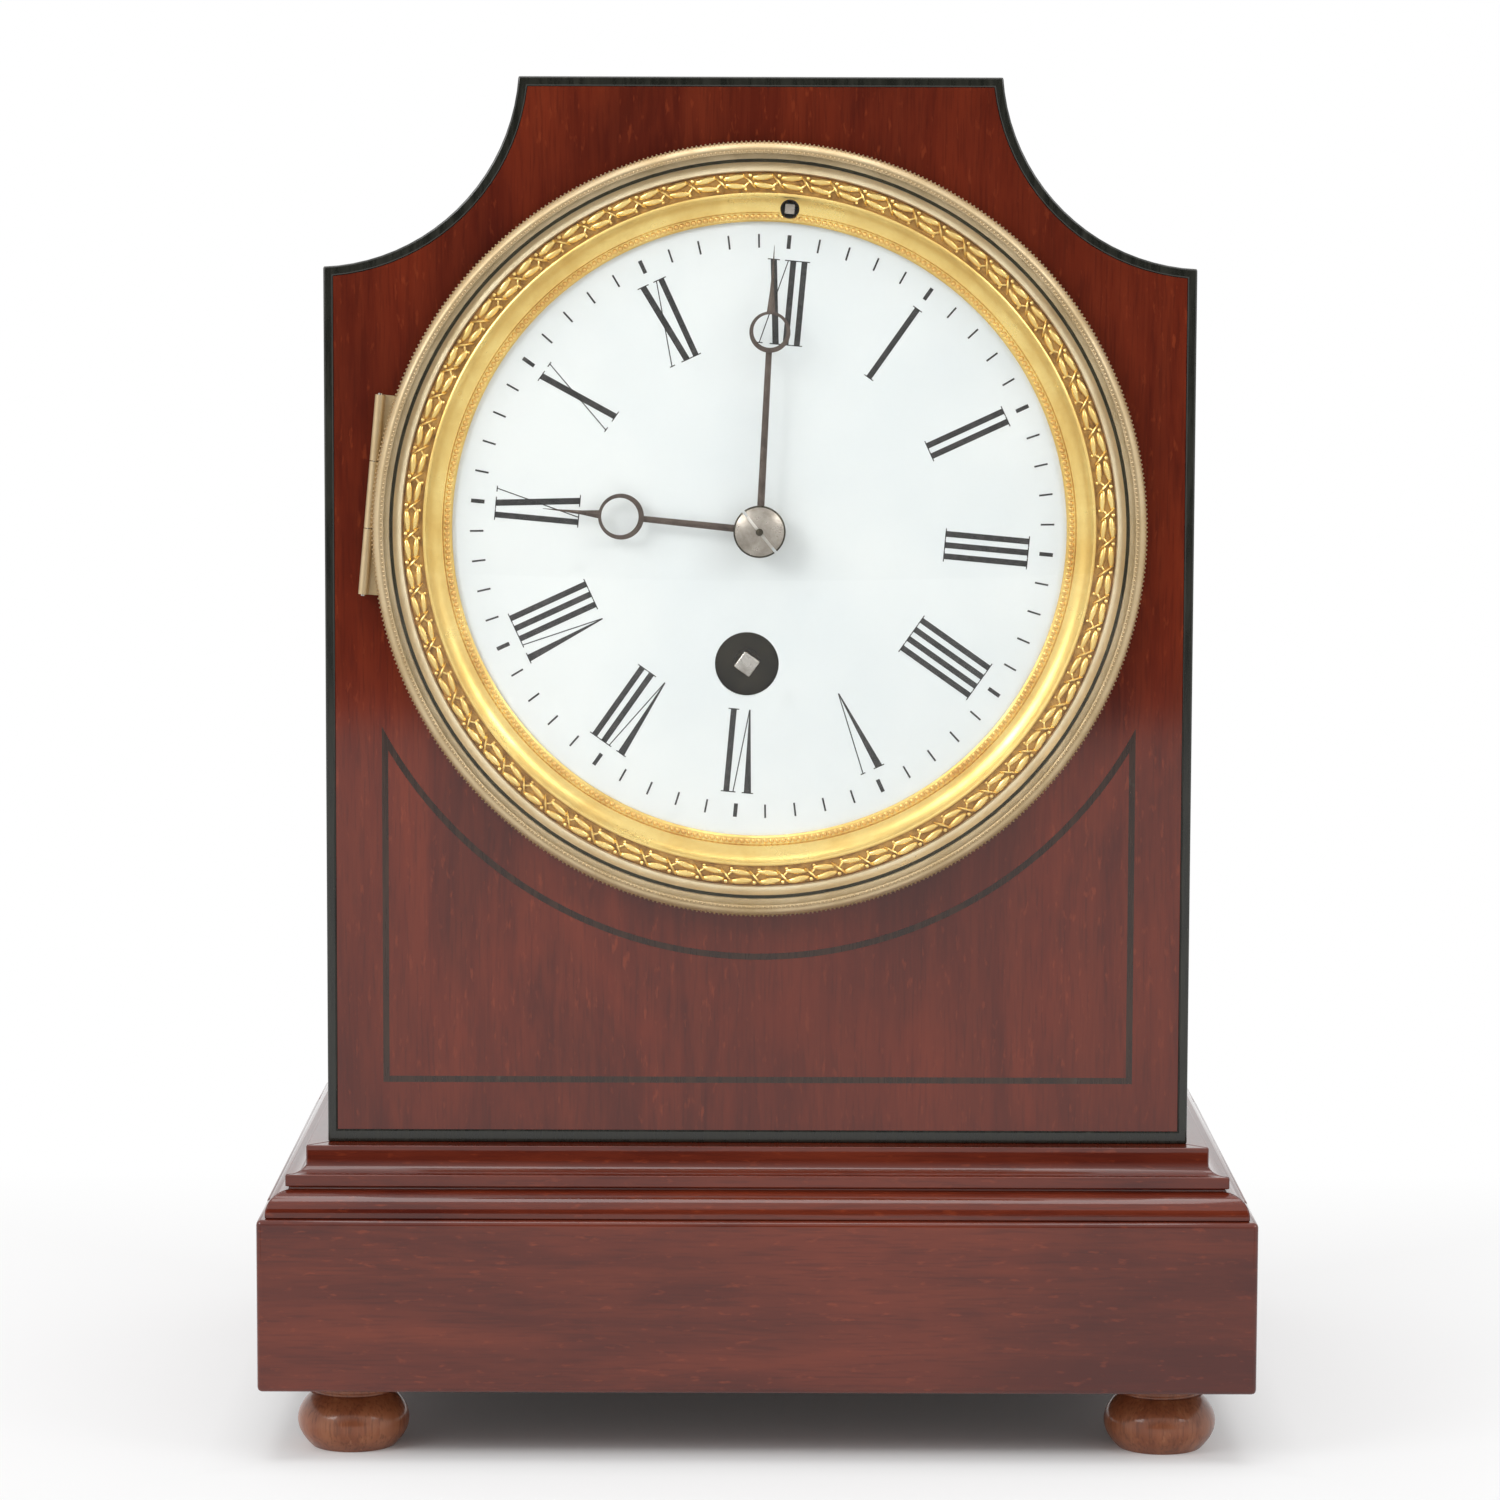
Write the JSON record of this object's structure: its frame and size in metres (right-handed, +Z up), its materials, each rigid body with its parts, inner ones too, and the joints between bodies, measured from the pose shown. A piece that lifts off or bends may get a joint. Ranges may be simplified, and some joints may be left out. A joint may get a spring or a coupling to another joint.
{
  "type": "bracket clock",
  "caption": "Small shouldered wooden mantel clock with a round hinged glazed bezel, enamel dial, moon hands, spring movement and pendulum.",
  "frame": {"origin": "on the standing surface under the middle of the plinth", "axes": "+X to the right of the dial, -Y out of the dial, +Z up"},
  "size_m": [0.191, 0.156, 0.2638],
  "materials": {
    "mahogany": "gloss",
    "secondary_wood": "matt",
    "ebonised": "gloss",
    "foot_wood": "satin",
    "gilt_brass": "satin",
    "enamel": "gloss",
    "glass": "gloss",
    "dark_steel": "satin",
    "polished_steel": "polished",
    "brass": "satin"
  },
  "bodies": {
    "case": {"plinth_front": "mahogany", "plinth_back": "mahogany", "plinth_left": "mahogany", "plinth_right": "mahogany", "moulding_front": "mahogany", "moulding_back": "mahogany", "moulding_left": "mahogany", "moulding_right": "mahogany", "front_panel": "mahogany", "side_left": "mahogany", "side_right": "mahogany", "shoulder_left": "mahogany", "shoulder_right": "mahogany", "top_board": "mahogany", "back_panel": "secondary_wood", "base_board": "secondary_wood", "edge_stringing": "ebonised", "panel_stringing": "ebonised", "foot_front_left": "foot_wood", "foot_front_right": "foot_wood", "foot_back_left": "foot_wood", "foot_back_right": "foot_wood", "enamel_dial": "enamel", "front_ring": "gilt_brass", "sight_ring": "gilt_brass", "hinge_pin": "gilt_brass", "rear_ring": "gilt_brass", "strap_left": "brass", "strap_right": "brass", "front_plate": "brass", "back_plate": "brass", "pillars": "brass", "back_cock": "brass"},
    "bezel": {"bezel": "gilt_brass", "bezel_glass": "glass", "glass_ring": "gilt_brass"},
    "rear_cover": {"rear_cover": "gilt_brass"},
    "minute": {"cannon_pinion": "brass", "minute_hand": "dark_steel", "hand_nut": "polished_steel"},
    "minute_work": {"minute_wheel": "brass"},
    "hour": {"hour_wheel": "brass", "hour_hand": "dark_steel"},
    "escape": {"escape_wheel": "brass"},
    "third": {"third_wheel": "brass"},
    "centre": {"centre_wheel": "brass"},
    "intermediate": {"intermediate_wheel": "brass"},
    "barrel": {"barrel": "brass", "barrel_cover": "brass", "mainspring": "polished_steel"},
    "winding": {"winding_arbor": "polished_steel", "ratchet_wheel": "polished_steel"},
    "click": {"click": "polished_steel"},
    "pallets": {"pallets": "polished_steel"},
    "suspension": {"suspension_slide": "brass", "suspension_spring": "polished_steel"},
    "regulator": {"regulator_arbor": "polished_steel"},
    "pendulum": {"pendulum_rod": "brass"},
    "bob": {"pendulum_bob": "brass"},
    "rating_nut": {"rating_nut": "brass"}
  },
  "joints": [
    {"name": "bezel_hinge", "type": "hinge", "parent": "case", "child": "bezel", "pos_m": [-0.0736, -0.06692, 0.1849], "axis": [-0.0906, 0, -0.9959], "range_deg": [0, 105]},
    {"name": "rear_cover_hinge", "type": "hinge", "parent": "case", "child": "rear_cover", "pos_m": [0.06633, 0.06672, 0.17216], "axis": [-0.0906, 0, -0.9959], "range_deg": [0, 110]},
    {"name": "minute_spin", "type": "hinge", "parent": "case", "child": "minute", "pos_m": [0, 0, 0.1782], "axis": [0, 1, 0], "continuous": true},
    {"name": "minute_wheel_spin", "type": "hinge", "parent": "case", "child": "minute_work", "pos_m": [-0.00768, 0, 0.18742], "axis": [0, 1, 0], "continuous": true},
    {"name": "hour_spin", "type": "hinge", "parent": "case", "child": "hour", "pos_m": [0, 0, 0.1782], "axis": [0, 1, 0], "continuous": true},
    {"name": "escape_spin", "type": "hinge", "parent": "case", "child": "escape", "pos_m": [0.00258, 0, 0.20658], "axis": [0, 1, 0], "continuous": true},
    {"name": "third_spin", "type": "hinge", "parent": "case", "child": "third", "pos_m": [0.01502, 0, 0.19259], "axis": [0, 1, 0], "continuous": true},
    {"name": "centre_spin", "type": "hinge", "parent": "case", "child": "centre", "pos_m": [0, 0, 0.1782], "axis": [0, 1, 0], "continuous": true},
    {"name": "intermediate_spin", "type": "hinge", "parent": "case", "child": "intermediate", "pos_m": [-0.0201, 0, 0.16967], "axis": [0, 1, 0], "continuous": true},
    {"name": "barrel_spin", "type": "hinge", "parent": "case", "child": "barrel", "pos_m": [-0.00232, 0, 0.15271], "axis": [0, 1, 0], "continuous": true},
    {"name": "winding_spin", "type": "hinge", "parent": "case", "child": "winding", "pos_m": [-0.00232, 0, 0.15271], "axis": [0, 1, 0], "continuous": true},
    {"name": "click_pivot", "type": "hinge", "parent": "case", "child": "click", "pos_m": [0.00944, 0, 0.15615], "axis": [0, -1, 0], "range_deg": [0, 12], "stiffness_Nm_per_rad": 0.001},
    {"name": "regulating_slide", "type": "slide", "parent": "case", "child": "suspension", "axis": [0.0906, 0, 0.9959], "range_m": [-0.0015, 0.0015]},
    {"name": "regulator_spin", "type": "hinge", "parent": "case", "child": "regulator", "pos_m": [0.00553, 0, 0.23895], "axis": [0, 1, 0], "range_deg": [-45, 45]},
    {"name": "pendulum_swing", "type": "hinge", "parent": "suspension", "child": "pendulum", "pos_m": [0.00399, -0.01602, 0.22202], "axis": [0, 1, 0], "range_deg": [-3, 3]},
    {"name": "crutch_swing", "type": "hinge", "parent": "case", "child": "pallets", "pos_m": [0.00399, 0, 0.22202], "axis": [0, 1, 0], "range_deg": [-3, 3]},
    {"name": "bob_slide", "type": "slide", "parent": "pendulum", "child": "bob", "axis": [0, 0, 1], "range_m": [-0.0015, 0.0015]},
    {"name": "rating_nut_spin", "type": "hinge", "parent": "bob", "child": "rating_nut", "pos_m": [0.00399, -0.01602, 0.06], "axis": [0, 0, 1], "range_deg": [-1081, 1081]}
  ],
  "couplings": [
    {"joint": "minute_wheel_spin", "follows": "minute_spin", "ratio": -0.33333},
    {"joint": "hour_spin", "follows": "minute_spin", "ratio": 0.083333},
    {"joint": "third_spin", "follows": "escape_spin", "ratio": -0.083333},
    {"joint": "centre_spin", "follows": "escape_spin", "ratio": 0.0069444},
    {"joint": "intermediate_spin", "follows": "escape_spin", "ratio": -0.0011574},
    {"joint": "barrel_spin", "follows": "escape_spin", "ratio": 0.00016534},
    {"joint": "regulator_spin", "follows": "regulating_slide", "rad_per_m": -500},
    {"joint": "crutch_swing", "follows": "pendulum_swing", "ratio": 1},
    {"joint": "rating_nut_spin", "follows": "bob_slide", "rad_per_m": 12566}
  ]
}
